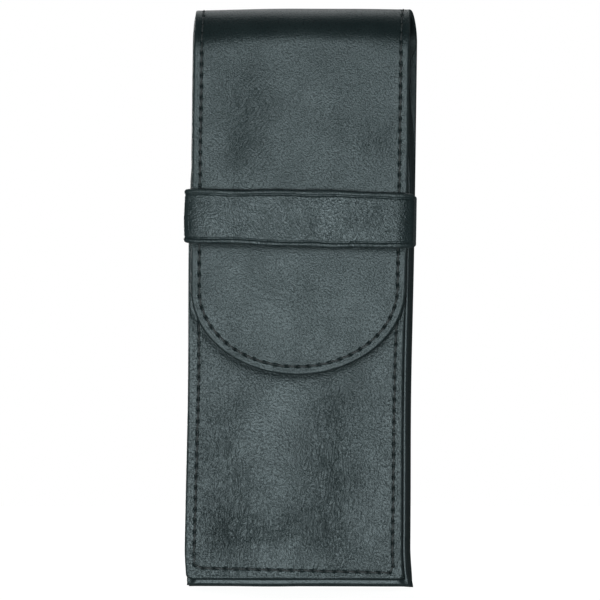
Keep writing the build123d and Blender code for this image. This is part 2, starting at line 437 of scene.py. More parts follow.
def at(value, *where):
    """A number, or a number that changes over the leather."""
    return value(*where) if callable(value) else value


def turned_sheet(name, grid, place, depth, thickness, relief, material, crumple, share=0.6):
    """A flat grid laid in space by place, with its edges turned over."""
    x, v, distance = grid
    turn_front, turn_back = edge_turn(distance, thickness, share)
    height = relief(x, v, distance) * np.clip(distance / (0.5 * MM), 0, 1)
    front = place(x, v, depth + turn_front - height)
    back = place(x, v, depth + turn_back)
    wear_and_highlight = np.exp(-distance / (0.5 * MM))
    return closed_sheet(name, front, back, np.stack([x, v], -1), wear_and_highlight, material, at(crumple, x, v))


def shell_sheet(name, start, end, depth, thickness, relief, material, step, tip=False, base=False,
                inset=0.0, fine=FINE, column_step=0.5 * MM, crumple=0.6):
    """A stretch of the back-fold-flap leather between two lengths along it."""
    end_inset = at(inset, end) if tip else 0
    outline = Outline(
        lambda v: shell_half_width(v + start) - at(inset, v + start),
        end - start - end_inset, base, tip,
        start_corner=(1.6 * MM, 1.6 * MM),
        end_corner=(tip_width - end_inset, tip_length - end_inset),
    )
    rows = along(outline.length, step, base, tip, fine)
    x, v, distance = outline.lay(across(case_half, fine, column_step), rows)
    v = v + start
    return turned_sheet(name, (x, v, distance), shell_place, at(depth, v), at(thickness, v), relief,
                        material, crumple)


def panel_sheet(name, place, half, length, thickness, relief, material, step, corner=1.5 * MM,
                fine=FINE, column_step=0.5 * MM, share=0.6, crumple=0.6):
    """A rectangular leather panel with all its edges turned."""
    outline = Outline(half, length, True, True, (0.7 * MM, 0.7 * MM), (corner, corner))
    grid = outline.lay(across(half, fine, column_step), along(length, step, True, True, fine))
    return turned_sheet(name, grid, place, 0.0, thickness, relief, material, crumple, share)


# ---- stitches
THREAD_RADIUS = 0.21 * MM
THREAD_SIDES = 12
THREAD_SHARES = np.linspace(0.06, 0.94, 14)  # where the rings of a stitch lie between its holes
STITCH_SLANT = 0.13 * MM


def stitch_line(start, run, place, swell, jitter):
    """A stitch's middle line, with the directions beside it and out of the leather."""
    over = unit(np.array([-run[1], run[0]]))
    slant = (THREAD_SHARES - 0.5) * 2 * STITCH_SLANT + jitter[0]
    x = start[0] + run[0] * THREAD_SHARES + over[0] * slant
    v = start[1] + run[1] * THREAD_SHARES + over[1] * slant
    sag = 0.5 * MM * np.abs(2 * THREAD_SHARES - 1) ** 3.2
    deep = 0.02 * MM + sag + jitter[1] * 0.5 - swell(x, v)
    centre = place(x, v, deep)
    out = unit(place(x, v, deep - 0.1 * MM) - centre)
    tangent = unit(np.gradient(centre, axis=0))
    beside = unit(np.cross(tangent, out))
    return centre, beside, np.cross(beside, tangent)


def thread_rings(centre, beside, above, twist):
    """Rings round a stitch's middle line: twisted three-ply thread, thinner at both ends."""
    angle = TAU * np.arange(THREAD_SIDES) / THREAD_SIDES
    share = THREAD_SHARES[:, None]
    size = THREAD_RADIUS * (1 - 0.35 * np.abs(2 * share - 1) ** 3)
    size = size * (1 + 0.16 * np.cos(3 * (angle - twist - share * 7.5)))
    wide = (np.cos(angle) * size)[..., None] * beside[:, None]
    high = (np.sin(angle) * size * 0.8)[..., None] * above[:, None]
    return (centre[:, None] + wide + high).reshape(-1, 3)


def tube_faces(rings, sides):
    """Faces of one closed tube of rings."""
    faces = []
    for low in range(0, (rings - 1) * sides, sides):
        for k in range(sides):
            after = (k + 1) % sides
            faces.append((low + k, low + after, low + sides + after, low + sides + k))
    faces.append(tuple(range(sides))[::-1])
    faces.append(tuple(range((rings - 1) * sides, rings * sides)))
    return faces


def stitch_mesh(name, seam, place, swell, keep=None):
    """Lockstitches from hole to hole, which dip into the leather at both ends."""
    points, faces, flats = [], [], []
    around = np.arange(THREAD_SIDES) / THREAD_SIDES * 1.2 * MM
    tube = tube_faces(len(THREAD_SHARES), THREAD_SIDES)
    source = np.random.default_rng(len(seam.holes))
    for start, end in zip(seam.holes[:-1], seam.holes[1:]):
        if keep and not keep((start + end) / 2):
            continue
        run = end - start
        line = stitch_line(start, run, place, swell, source.uniform(-0.05, 0.05, 3) * MM)
        base = len(points)
        points.extend(thread_rings(*line, source.uniform(0, TAU)).tolist())
        flats.extend((share * np.hypot(*run), turn) for share in THREAD_SHARES for turn in around)
        faces.extend(tuple(base + corner for corner in face) for face in tube)
    mesh = bpy.data.meshes.new(name)
    mesh.from_pydata(points, [], faces)
    lay_flat(mesh, flats)
    clean(mesh, weld=False)
    return linked(name, mesh, thread)


# ---- materials
class Nodes:
    """A small helper that adds and links shader nodes."""

    def __init__(self, name):
        self.material = bpy.data.materials.new(name)
        self.material.use_nodes = True
        self.tree = self.material.node_tree
        self.shader = self.tree.nodes["Principled BSDF"]

    def feed(self, slot, value):
        """Links an output to an input, or sets a plain value on it."""
        if isinstance(value, bpy.types.NodeSocket):
            self.tree.links.new(value, slot)
        else:
            slot.default_value = value

    def add(self, kind, feeds=None, output=0, **settings):
        """The output of a new node, with its settings and what is fed into its inputs."""
        node = self.tree.nodes.new(kind)
        for key, value in settings.items():
            setattr(node, key, value)
        for key, value in (feeds or {}).items():
            self.feed(node.inputs[key], value)
        return node.outputs[output]

    def surface(self, **values):
        """Feeds the shader's inputs, named with _ for each space."""
        for key, value in values.items():
            self.feed(self.shader.inputs[key.replace("_", " ")], value)

    def flat(self):
        """The leather's flat sizes."""
        return self.add("ShaderNodeUVMap", output="UV", uv_map="flat")

    def painted(self, name):
        """A value painted on the mesh's points."""
        return self.add("ShaderNodeAttribute", output="Fac", attribute_name=name)

    def ramp(self, factor, *stops):
        """A colour or grey that changes with a factor, from stops of a place and a value."""
        node = self.tree.nodes.new("ShaderNodeValToRGB")
        elements = node.color_ramp.elements
        while len(elements) > 1:
            elements.remove(elements[-1])
        for number, (place, value) in enumerate(stops):
            element = elements[0] if number == 0 else elements.new(place)
            element.position = place
            element.color = (*value, 1) if isinstance(value, tuple) else (value, value, value, 1)
        self.feed(node.inputs["Fac"], factor)
        return node.outputs["Color"]

    def math(self, operation, a, b):
        """Arithmetic on two outputs or numbers."""
        return self.add("ShaderNodeMath", {0: a, 1: b}, operation=operation)

    def times(self, first, *others):
        """The product of outputs and numbers."""
        for other in others:
            first = self.math("MULTIPLY", first, other)
        return first

    def noise(self, vector, size, detail=2.0, rough=0.5, output="Fac"):
        """Noise with features of about the given size."""
        feeds = {"Vector": vector, "Scale": 1 / size, "Detail": detail, "Roughness": rough}
        return self.add("ShaderNodeTexNoise", feeds, output)

    def cells(self, vector, size):
        """Distance from the middles of random cells of the given size."""
        return self.add("ShaderNodeTexVoronoi", {"Vector": vector, "Scale": 1 / size}, "Distance",
                        feature="F1", voronoi_dimensions="2D")

    def vector_math(self, operation, feeds):
        """Arithmetic on vectors."""
        return self.add("ShaderNodeVectorMath", feeds, operation=operation)

    def warp(self, vector, size, amount):
        """A vector pulled about by soft noise."""
        sway = self.noise(vector, size, 1.0, output="Color")
        shift = self.vector_math("SUBTRACT", {0: sway, 1: (0.5, 0.5, 0.5)})
        pull = self.vector_math("SCALE", {0: shift, "Scale": amount})
        return self.vector_math("ADD", {0: vector, 1: pull})

    def raise_by(self, height, strength, distance):
        """Bumps the surface by a height."""
        feeds = {"Height": height, "Strength": strength, "Distance": distance}
        self.surface(Normal=self.add("ShaderNodeBump", feeds, "Normal"))

    def mix(self, blend, first, second, factor):
        """A mix of two colours."""
        feeds = {"Fac": factor, "Color1": first, "Color2": second}
        return self.add("ShaderNodeMixRGB", feeds, "Color", blend_type=blend)


def grain_height(n, flat, pulled, domes, pebble, lie):
    """Domed pebbles, strokes and furrows along the leather's lie, and an uneven skin."""
    feeds = {"Vector": pulled, "Rotation": (0, 0, math.radians(lie)), "Scale": (2.8, 0.72, 1)}
    lying = n.add("ShaderNodeMapping", feeds, "Vector", vector_type="TEXTURE")
    strokes = n.ramp(n.noise(lying, 0.62 * MM, 2.0, 0.6), (0.30, 1.0), (0.48, 0.0))
    furrows = n.ramp(n.noise(lying, 1.3 * MM, 1.0, 0.4), (0.45, 0.0), (0.50, 1.0), (0.55, 0.0))
    crumple = n.painted("crumple")
    bent = n.ramp(crumple, (0.71, 0.0), (0.88, 1.0))
    small = n.ramp(n.cells(pulled, pebble * 0.62), (0.0, 1.0), (0.7, 0.0))
    height = n.math("ADD", domes, n.times(small, 0.6))
    for lines, depth in ((strokes, 1.3), (furrows, 1.2)):
        height = n.math("SUBTRACT", height, n.times(lines, bent, depth))
    for size, rough, share in ((0.34 * MM, 0.6, 1.7), (2.4 * MM, 0.5, 0.3)):
        height = n.math("ADD", height, n.times(n.noise(flat, size, 2.0, rough), share))
    patches = n.ramp(n.noise(flat, 14 * MM), (0.3, 0.8), (0.7, 1.1))
    return n.times(height, n.times(patches, crumple))


def dye_wear_and_painted_light(n, flat, domes, dark, light, wear_and_highlight_colour):
    """Uneven dye, painted shade between the pebbles, and lighter rubbed edges that are also a painted
    highlight on the gusset's fold.
    """
    dye = n.ramp(n.noise(flat, 16 * MM, 5.0, 0.6), (0.35, dark), (0.65, light))
    # painted shade: the colour is darkened between the pebbles
    painted_valley_shade = n.mix("MULTIPLY", dye, n.ramp(domes, (0.0, 0.3), (0.6, 1.0)), 0.7)
    scuff = n.ramp(n.noise(flat, 2.2 * MM, 4.0, 0.6), (0.35, 0.15), (0.65, 1.0))
    # rubbed edges are mixed toward a lighter colour; on the gusset's fold this is also a painted highlight
    return n.mix("MIX", painted_valley_shade, (*wear_and_highlight_colour, 1), n.times(n.painted("wear_and_highlight"), scuff, 0.45))


def leather(name, dark, light, roughness, pebble, grain, wear_and_highlight_colour, lie=0.0, shine=0.6):
    """Pebbled leather, with its pebbles' size and its grain's height.

    The mesh's "crumple" value deepens the grain where the leather has been bent, and its
    wear value lightens the rubbed edges, which on the gusset's fold is also a painted highlight. Between
    the pebbles the colour is darkened as painted shade.
    """
    n = Nodes(name)
    flat = n.flat()
    pulled = n.warp(n.warp(flat, 11 * MM, 4.0 * MM), 1.8 * MM, 0.35 * MM)
    domes = n.ramp(n.cells(pulled, pebble), (0.0, 1.0), (0.35, 0.75), (0.8, 0.0))
    n.raise_by(grain_height(n, flat, pulled, domes, pebble, lie), 1.0, grain)
    low, high = roughness
    n.surface(
        Base_Color=dye_wear_and_painted_light(n, flat, domes, dark, light, wear_and_highlight_colour),
        Roughness=n.ramp(domes, (0.0, high), (0.7, low)),
        Specular_Tint=(0.78, 0.96, 1.0, 1),
        Specular_IOR_Level=shine,
    )
    return n.material


def fibrous(name, scale, detail, rough, colours, rise, roughness, shine):
    """A dull surface coloured and raised by fine fibres."""
    n = Nodes(name)
    fibres = n.noise(n.flat(), 1 / scale, detail, rough)
    n.raise_by(fibres, *rise)
    n.surface(Base_Color=n.ramp(fibres, *colours), Roughness=roughness, Specular_IOR_Level=shine)
    return n.material


WORN = (0.085, 0.105, 0.108)
shell_leather = leather("shell_leather", (0.009, 0.017, 0.018), (0.016, 0.026, 0.027),
                        (0.33, 0.47), 0.46 * MM, 0.050 * MM, WORN, lie=122, shine=0.53)
panel_leather = leather("panel_leather", (0.010, 0.017, 0.018), (0.017, 0.027, 0.028),
                        (0.32, 0.46), 0.56 * MM, 0.066 * MM, WORN, lie=92, shine=0.60)
band_leather = leather("band_leather", (0.010, 0.018, 0.019), (0.018, 0.029, 0.030),
                       (0.30, 0.44), 0.56 * MM, 0.066 * MM, WORN, lie=70, shine=0.69)
# the gusset's lighter edge colour is partly wear and partly a painted highlight along its fold
gusset_leather = leather("gusset_leather", (0.007, 0.013, 0.014), (0.013, 0.021, 0.022),
                         (0.38, 0.52), 0.46 * MM, 0.030 * MM, (0.09, 0.11, 0.112))
lining_leather = leather("lining_leather", (0.009, 0.013, 0.013), (0.015, 0.020, 0.020),
                         (0.46, 0.62), 0.42 * MM, 0.020 * MM, (0.04, 0.05, 0.052))
thread = fibrous("black_thread", 9000, 3.0, 0.5,
                 ((0.3, (0.016, 0.022, 0.023)), (0.75, (0.062, 0.075, 0.077))),
                 (0.8, 0.006 * MM), 0.55, 0.4)
board = fibrous("grey_board", 900, 6.0, 0.7,
                ((0.3, (0.22, 0.205, 0.18)), (0.7, (0.37, 0.35, 0.31))),
                (0.5, 0.05 * MM), 0.9, 0.5)


# ---- seams
def tip_curve(inset, count=48):
    """The seam round the tongue's tip, from its left side to its right side."""
    half, reach = flap_half - inset, tip_length - inset
    angles = np.linspace(math.pi, 0, count)
    start = flap_end - tip_length
    return [(half * math.cos(a), start + reach * math.sin(a)) for a in angles]


def wrap_side(side, start, end, inset, count=60):
    """Seam points along one side of the shell, which narrows over the fold."""
    v = np.linspace(start, end, count)
    return [(side * (shell_half_width(s) - inset), s) for s in v]


back_base = 1.9 * MM
shell_seam = Seam(
    wrap_side(-1, arch_z, flap_end - tip_length, SEAM_INSET)[:-1]
    + tip_curve(SEAM_INSET)
    + wrap_side(1, flap_end - tip_length, arch_z, SEAM_INSET)[1:]
)
back_seam = Seam([
    (-(case_half - SEAM_INSET), arch_z),
    (-(case_half - SEAM_INSET), back_base),
    (case_half - SEAM_INSET, back_base),
    (case_half - SEAM_INSET, arch_z),
])

panel_half = front_high.x
panel_length = front_high.z - front_low.z
front_seam = Seam([
    (-(panel_half - 2.4 * MM), 0.6 * MM),
    (-(panel_half - 2.35 * MM), 0.55 * panel_length),
    (-(panel_half - 1.95 * MM), panel_length - 3.1 * MM),
    (0.2 * panel_half, panel_length - 2.35 * MM),
    (panel_half - 2.7 * MM, panel_length - 1.9 * MM),
    (panel_half - 2.3 * MM, 0.5 * panel_length),
    (panel_half - 2.2 * MM, 0.6 * MM),
])
mouth_seam = Seam([
    (-(panel_half - 3.4 * MM), SEAM_INSET),
    (panel_half - 3.4 * MM, SEAM_INSET),
])


# ---- reliefs of the visible leather
def shell_swell(x, v):
    """Slow rise and fall of the flap and the fold."""
    swell = hills(x, v - flap_top, (-0.12, (-15, 22), (4, 16)), (0.12, (3, 8), (17, 7)))
    return MM * (swell + 0.06 * waves(x, v, 24 * MM, 3))


def band_press(x, v):
    """The flap is pressed in under the band, and comes back out just below its lower edge."""
    below = band_low.z - BAND_TILT * x - (arch_z + flap_top - v)
    under = soft_step((below + 6 * MM) / (5 * MM))
    return -0.32 * MM * under * np.exp(-np.maximum(below, 0) / (0.9 * MM))


def shell_relief(x, v, distance):
    """Flap and fold: diagonal creases at the upper left, an edge line and the seam."""
    height = shell_swell(x, v) + band_press(x, v) + crease_patches(
        x, v, v - flap_top,
        (0.24, (-14, 22), (7, 17), 2.0, -60, 11),
        (0.15, (19, 27), (8, 8), 1.6, 62, 17),
        (0.08, (-10, 66), (16, 12), 1.7, 15, 23),
    )
    return height + edge_crease(distance, 1.4 * MM) + shell_seam.relief(x, v)


def shell_crumple(x, v):
    """The flap is smooth, but its grain is broken up along the upper left and the right."""
    return 0.70 + hills(x, v - flap_top, (0.16, (-14, 22), (8, 17)), (0.13, (20, 26), (8, 8)))


def back_swell(x, v):
    """The back is almost flat, and rises over the band's let-in ends."""
    swell = 0.05 * MM * waves(x, v, 30 * MM, 31)
    middle = (band_low.z + band_high.z) / 2
    for side in (-1, 1):
        swell = swell + 0.16 * MM * bump(x, v, (side * (case_half - 3 * MM), middle), (3.4 * MM, 7.5 * MM))
    return swell


def back_relief(x, v, distance):
    """Back: light handling creases low down, an edge line and the seam."""
    height = back_swell(x, v) + crease_patches(x, v, v, (0.035, (8, 34), (15, 22), 2.1, 80, 37))
    seam = np.where(v > arch_z, shell_seam.relief(x, v), back_seam.relief(x, v))
    return height + edge_crease(distance, 1.4 * MM) + seam


def front_swell(x, v):
    """Hollows and ridges of the handled front panel, which fade out under the tongue."""
    z = front_high.z - v
    hollow = bump(x, z, (4 * MM + 0.16 * (z - 36 * MM), 36 * MM), (4.5 * MM, 19 * MM))
    swell = hills(x, z, (0.20, (-8, 43), (8, 22)), (0.16, (17, 34), (7, 27)),
                  (0.14, (-3, 10), (8, 6)), (-0.09, (-19, 30), (4, 30))) - 0.17 * hollow
    swell = swell * soft_step((66 * MM - z) / (16 * MM))
    return MM * (swell + 0.05 * waves(x, v, 24 * MM, 41, stretch=(0.8, 1.6))) + tongue_press(x, z)


def tongue_press(x, z):
    """The panel is pressed in under the tongue, and comes back out just beyond its edge."""
    drop = np.maximum(tip_top - z, 0) / tip_length
    reach = np.hypot((x + 0.3 * MM) / tip_width, drop)
    slope = np.hypot((x + 0.3 * MM) / tip_width ** 2, drop / tip_length) / np.maximum(reach, 1e-9)
    outside = np.maximum((reach - 1) / slope, 0)
    return -0.55 * MM * np.exp(-outside / (1.3 * MM))


def front_relief(x, v, distance):
    """Front panel: long upright creases, bowed creases low down, an edge line and the seams."""
    z = front_high.z - v
    height = front_swell(x, v) + crease_patches(
        x, v, z,
        (0.20, (-17, 24), (7, 26), 2.0, 84, 43),
        (0.22, (12, 26), (8, 30), 1.9, -76, 47),
        (0.16, (-25, 24), (7, 22), 1.6, 4, 53),
    )
    bow = z - 14.5 * MM - 4.5 * MM * np.sin((x + 24 * MM) / (26 * MM))
    reach = hills(x, z, (0.20, (-9, 17), (11, 12)))
    for lower in (0.0, 1.6 * MM, 3.4 * MM):
        height -= MM * reach * np.exp(-((bow + lower) / (0.45 * MM)) ** 2)
    return height + edge_crease(distance, 1.3 * MM) + front_seam.relief(x, v) + mouth_seam.relief(x, v)


def front_crumple(x, v):
    """The panel's grain is deepest beside its creases and shallow on its upper left ridge."""
    return 0.74 + hills(x, front_high.z - v, (0.10, (-18, 26), (8, 28)), (0.13, (10, 30), (8, 26)),
                        (0.10, (-8, 16), (14, 6)), (-0.12, (-7, 42), (7, 16)))


def flat_relief(x, v, distance):
    """Linings and boards: a slight unevenness only."""
    return 0.02 * MM * waves(x, v, 12 * MM, 61)


def along_leather(angle):
    """How far along the leather an angle of the fold lies."""
    return arch_z + math.radians(angle) * arch_radius


def bend(piece, name, slot, *nodes):
    """Bakes the piece's place into its mesh, and hides the CAD nodes that it stands for."""
    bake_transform(piece)
    if nodes:
        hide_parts(*nodes)


def hold(piece, body, slot, *nodes):
    """The piece rides stiffly on a body, and stands for its CAD nodes."""
    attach(piece, body)
    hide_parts(*nodes)


back_skin = shell_sheet("back_leather", 0, along_leather(45), 0, skin, back_relief,
                        shell_leather, 0.72 * MM, base=True, crumple=0.7)
bend(back_skin, "rear", "shell_leather", "back_skin")
for name, node in (("top_rear", "crown_rear_skin"), ("top_front", "crown_top_skin")):
    start, end = BENDS[name][2:]
    strip = shell_sheet(f"fold_leather_{name}", along_leather(start), along_leather(end), 0, skin,
                        shell_relief, shell_leather, 0.36 * MM, crumple=shell_crumple)
    bend(strip, name, "shell_leather", node)
flap = shell_sheet("flap_leather", along_leather(135), flap_end, 0, skin, shell_relief,
                   shell_leather, 0.4 * MM, tip=True, crumple=shell_crumple)
bend(flap, "front", "shell_leather", "crown_front_skin", "flap_skin", "tongue_skin")

core = back_card_high.y - back_card_low.y
LINING_GRID = dict(fine=0.4 * MM, column_step=1.2 * MM)


def toward_fold(flat, bent):
    """A size that changes from the flat back to the fold, just below it."""
    return lambda v: flat + (bent - flat) * soft_step((v - (arch_z - 5 * MM)) / (5 * MM))


back_lining = shell_sheet(
    "back_lining_sheet", front_low.z, along_leather(45),
    toward_fold(skin + core, skin), toward_fold(0.4 * MM, flap_lining), flat_relief, lining_leather,
    1.0 * MM, base=True, inset=toward_fold(1.6 * MM, 0.12 * MM), **LINING_GRID,
)
bend(back_lining, "rear", "lining_leather", "back_lining")
for name, node in (("top_rear", "crown_rear_lining"), ("top_front", "crown_top_lining")):
    start, end = BENDS[name][2:]
    strip = shell_sheet(f"fold_lining_{name}", along_leather(start), along_leather(end), skin,
                        flap_lining, flat_relief, lining_leather, 0.6 * MM, inset=0.12 * MM, **LINING_GRID)
    bend(strip, name, "lining_leather", node)
flap_inside = shell_sheet("flap_lining_sheet", along_leather(135), flap_end, skin, flap_lining,
                          flat_relief, lining_leather, 0.8 * MM, tip=True, inset=0.12 * MM, **LINING_GRID)
bend(flap_inside, "front", "lining_leather", "crown_front_lining", "flap_lining", "tongue_lining")

# ---- front wall, boards, dividers
front_panel = panel_sheet("front_leather", front_place, panel_half, panel_length, skin, front_relief,
                          panel_leather, step=0.5 * MM, crumple=front_crumple)
hold(front_panel, "root", "shell_leather", "front_skin")


def upright_place(low, high):
    """A flat upright sheet in a CAD box, seen from the front."""
    return lambda x, v, depth: stack(x, low.y + depth, high.z - v)


def cross_place(low, high):
    """A flat upright sheet that runs from front to back."""
    middle = (low.y + high.y) / 2
    return lambda x, v, depth: stack(low.x + depth, middle + x, high.z - v)


COARSE = dict(step=1.5 * MM, fine=0.6 * MM, column_step=1.5 * MM)
for node, slot, material, body in (
    ("front_lining", "lining_leather", lining_leather, "root"),
    ("back_card", "card", board, "root"),
    ("front_card", "card", board, "root"),
    ("flap_card", "card", board, "flap"),
):
    low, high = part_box(node)
    sheet = panel_sheet(f"{node}_sheet", upright_place(low, high), high.x, high.z - low.z,
                        high.y - low.y, flat_relief, material, share=0.5, **COARSE)
    hold(sheet, body, slot, node)
for node in ("divider_left", "divider_right"):
    low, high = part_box(node)
    sheet = panel_sheet(f"{node}_sheet", cross_place(low, high), (high.y - low.y) / 2, high.z - low.z,
                        high.x - low.x, flat_relief, lining_leather, share=0.5, **COARSE)
    hold(sheet, "root", "lining_leather", node)
tongue_board = shell_sheet(
    "tongue_card_sheet", flap_top + arch_z - tongue_card_high.z, flap_end, skin,
    tongue_card_high.y - tongue_card_low.y, flat_relief, board, 1.0 * MM, tip=True,
    inset=tongue_high.x - tongue_card_high.x, fine=0.6 * MM, column_step=1.5 * MM,
)
hold(tongue_board, "flap", "card", "tongue_card")


# ---- paths that turn corners
def rounded_path(corners, radii, step):
    """Even points along a flat path with rounded corners, and the normals on its right-hand side."""
    corners = [np.array(corner, float) for corner in corners]
    points = [corners[0]]
    for before, corner, after, radius in zip(corners, corners[1:], corners[2:], radii):
        back = unit(before - corner)
        on = unit(after - corner)
        half = math.acos(np.clip(back @ on, -1, 1)) / 2
        centre = corner + unit(back + on) * radius / math.sin(half)
        first = corner + back * radius / math.tan(half) - centre
        last = corner + on * radius / math.tan(half) - centre
        turn = math.pi - 2 * half
        for share in np.linspace(0, 1, 25):
            arm = first * math.sin((1 - share) * turn) + last * math.sin(share * turn)
            points.append(centre + arm / math.sin(turn))
    points.append(corners[-1])
    points = np.array(points)
    reach = lengths_along(points)
    s = np.linspace(0, reach[-1], int(reach[-1] / step) + 1)
    even = np.stack([np.interp(s, reach, points[:, k]) for k in (0, 1)], -1)
    tangent = unit(np.gradient(even, axis=0))
    return s, even, np.stack([tangent[:, 1], -tangent[:, 0]], -1)


# ---- gusset
GUSSET_LEATHER = 0.58 * MM
PLEAT = 3.2 * MM
FLANGE = 6.0 * MM
gusset_front = (front_high.y + front_lining_low.y) / 2
gusset_back = gusset_high.y - (gusset_high.y - back_lining_low.y - 0.4 * MM) / 2
pleat_y = (gusset_low.y + gusset_high.y) / 2
bead_y = gusset_front - 0.45 * MM
gusset_s, gusset_line, gusset_normal = rounded_path(
    [(gusset_front, FLANGE), (gusset_front, 1.55 * MM), (bead_y, 1.15 * MM), (bead_y, 0.12 * MM),
     (gusset_front + 0.35 * MM, -0.05 * MM), (pleat_y, PLEAT + 0.5 * MM),
     (gusset_back, 0.05 * MM), (gusset_back, FLANGE)],
    [0.25 * MM, 0.25 * MM, 0.28 * MM, 0.5 * MM, 0.8 * MM, 0.4 * MM], 0.12 * MM,
)


def gusset_top(y):
    """The slanted top of the gusset, lower at the front."""
    share = (y - gusset_low.y) / (gusset_high.y - gusset_low.y)
    return 121 * MM + 17 * MM * np.clip(share, 0, 1) ** 1.5


class GussetFace:
    """One face of the gusset's section, carried down one side, along the bottom and up the other.

    forward runs from 0 at the back wall to 1 at the front wall. An ear is the little point
    that the bead pushes out at each bottom corner.
    """

    EARS = {-1: 0.1 * MM, 1: 0.4 * MM}
    SIDE_TAPERS = {-1: 0.80 * MM, 1: 0.62 * MM}
    BASE_TAPER = 1.20 * MM

    def __init__(self, offset):
        line = gusset_line + gusset_normal * offset
        self.y, self.inset = line[:, 0], line[:, 1]
        self.forward = np.clip((gusset_back - self.y) / (gusset_back - gusset_front), 0, 1)
        self.base = self.inset + self.BASE_TAPER * self.forward
        self.top = gusset_top(self.y)
        narrow = self.inset - 0.5 * np.clip(self.inset, 0, 1.5 * MM)
        self.reach = {side: case_half - narrow - taper * self.forward
                      for side, taper in self.SIDE_TAPERS.items()}
        bead = soft_step((2.2 * MM - self.inset) / (0.9 * MM))
        self.bead = bead * soft_step((self.forward - 0.8) / 0.2)

    def ear(self, side, distance):
        """How far the corner sticks out, at a distance from it."""
        fade = np.clip(1 - self.inset / (2.0 * MM), 0, 1)
        return self.EARS[side] * np.exp(-(distance / (1.5 * MM)) ** 2) * fade

    def side_row(self, side, share):
        """The section at a share of the way down one side, pinched in near the top."""
        z = self.top + (self.base - self.top) * share
        sway = 0.07 * MM * np.sin(z / (12 * MM)) * (1 - share)
        out = self.ear(side, z - self.base)
        pinch = (0.5 * MM + 0.5 * MM * self.forward) * soft_step((z - 104 * MM) / (26 * MM))
        pinch += 1.3 * MM * (1 - self.forward) * soft_step((z - 118 * MM) / (20 * MM))
        x = side * (self.reach[side] + out + sway - pinch)
        flat = np.stack([gusset_s, side * z + (1 + side) * case_half], -1)
        return stack(x, self.y, z - 0.4 * out), flat

    def bottom_row(self, share):
        """The section at a share of the way along the bottom, with its bead pushed forward."""
        x = -self.reach[-1] + (self.reach[-1] + self.reach[1]) * share
        out = self.ear(-1, x + self.reach[-1]) + self.ear(1, self.reach[1] - x)
        sway = 0.10 * MM * np.sin(x / (6 * MM)) * math.sin(math.pi * share)
        pushed = 0.75 * MM * self.bead * soft_step(share / 0.03) * soft_step((1 - share) / 0.03)
        z = self.base - 0.4 * out + sway * np.clip(1 - self.inset / PLEAT, 0, 1)
        return stack(x, self.y - pushed, z), np.stack([gusset_s, x + case_half], -1)

    def rows(self):
        """All rows of the face, and their flat sizes."""
        shares = 1 - (1 - np.linspace(0, 1, 190)) ** 1.25
        rows = [self.side_row(-1, share) for share in shares]
        rows += [self.bottom_row(share) for share in np.linspace(0, 1, 110)[1:-1]]
        rows += [self.side_row(1, share) for share in shares[::-1]]
        points, flats = zip(*rows)
        return np.array(points), np.array(flats)


gusset_outer, gusset_flat = GussetFace(GUSSET_LEATHER / 2).rows()
gusset_inner = GussetFace(-GUSSET_LEATHER / 2).rows()[0]
# the gusset is lightened along its folded edges: partly rubbed wear, partly a painted highlight on the
# ridge
fold_wear_and_highlight = np.exp(-gusset_line[:, 1] / (0.45 * MM)) * 0.9
gusset_wear_and_highlight = np.broadcast_to(fold_wear_and_highlight, gusset_outer.shape[:2])
gusset = closed_sheet("gusset_leather_strip", gusset_outer, gusset_inner, gusset_flat, gusset_wear_and_highlight,
                      gusset_leather)
hold(gusset, "root", "gusset_leather", "gusset")

# ---- band
band_width = band_high.z - band_low.z
band_skin = band_lining_low.y - band_low.y
band_front = band_low.y + band_skin / 2
band_tail_y = (back_card_low.y + back_card_high.y) / 2
band_left = -(band_high.x - band_skin / 2 - 0.30 * MM)
band_right = band_high.x - band_skin / 2 - 0.55 * MM
tail_x = case_half - 5 * MM
band_s, band_line, band_normal = rounded_path(
    [(-tail_x, band_tail_y), (band_left, band_tail_y),
     (band_left, band_front + 1.5 * MM), (band_left + 2.6 * MM, band_front + 0.45 * MM),
     (band_left + 5.6 * MM, band_front),
     (band_right - 4.2 * MM, band_front), (band_right - 2.2 * MM, band_front + 0.42 * MM),
     (band_right, band_front + 1.5 * MM),
     (band_right, band_tail_y), (tail_x, band_tail_y)],
    [0.5 * MM, 1.3 * MM, 9 * MM, 12 * MM, 8 * MM, 6 * MM, 1.1 * MM, 0.5 * MM], 0.33 * MM,
)
band_length = band_s[-1]


def band_relief(s, w, distance):
    """Band: wavy body, a pressed line beside each long edge with a soft rim outside it."""
    middle = s - band_length / 2
    height = 0.09 * MM * waves(middle, w, 15 * MM, 71, stretch=(1.3, 1.0))
    height += 0.22 * MM * bump(middle, w, (-20 * MM, 7 * MM), (5 * MM, 9 * MM))
    height += 0.05 * MM * creases(middle, w, math.radians(86), 2.3 * MM, 73)
    edge = np.minimum(w, band_width - w)
    wander = 0.08 * MM * waves(middle, 0 * w, 14 * MM, 79)
    line = edge - 1.45 * MM - wander
    height -= 0.19 * MM * np.exp(-(line / (0.24 * MM)) ** 2)
    height += 0.10 * MM * np.exp(-((line + 0.65 * MM) / (0.4 * MM)) ** 2)
    return height


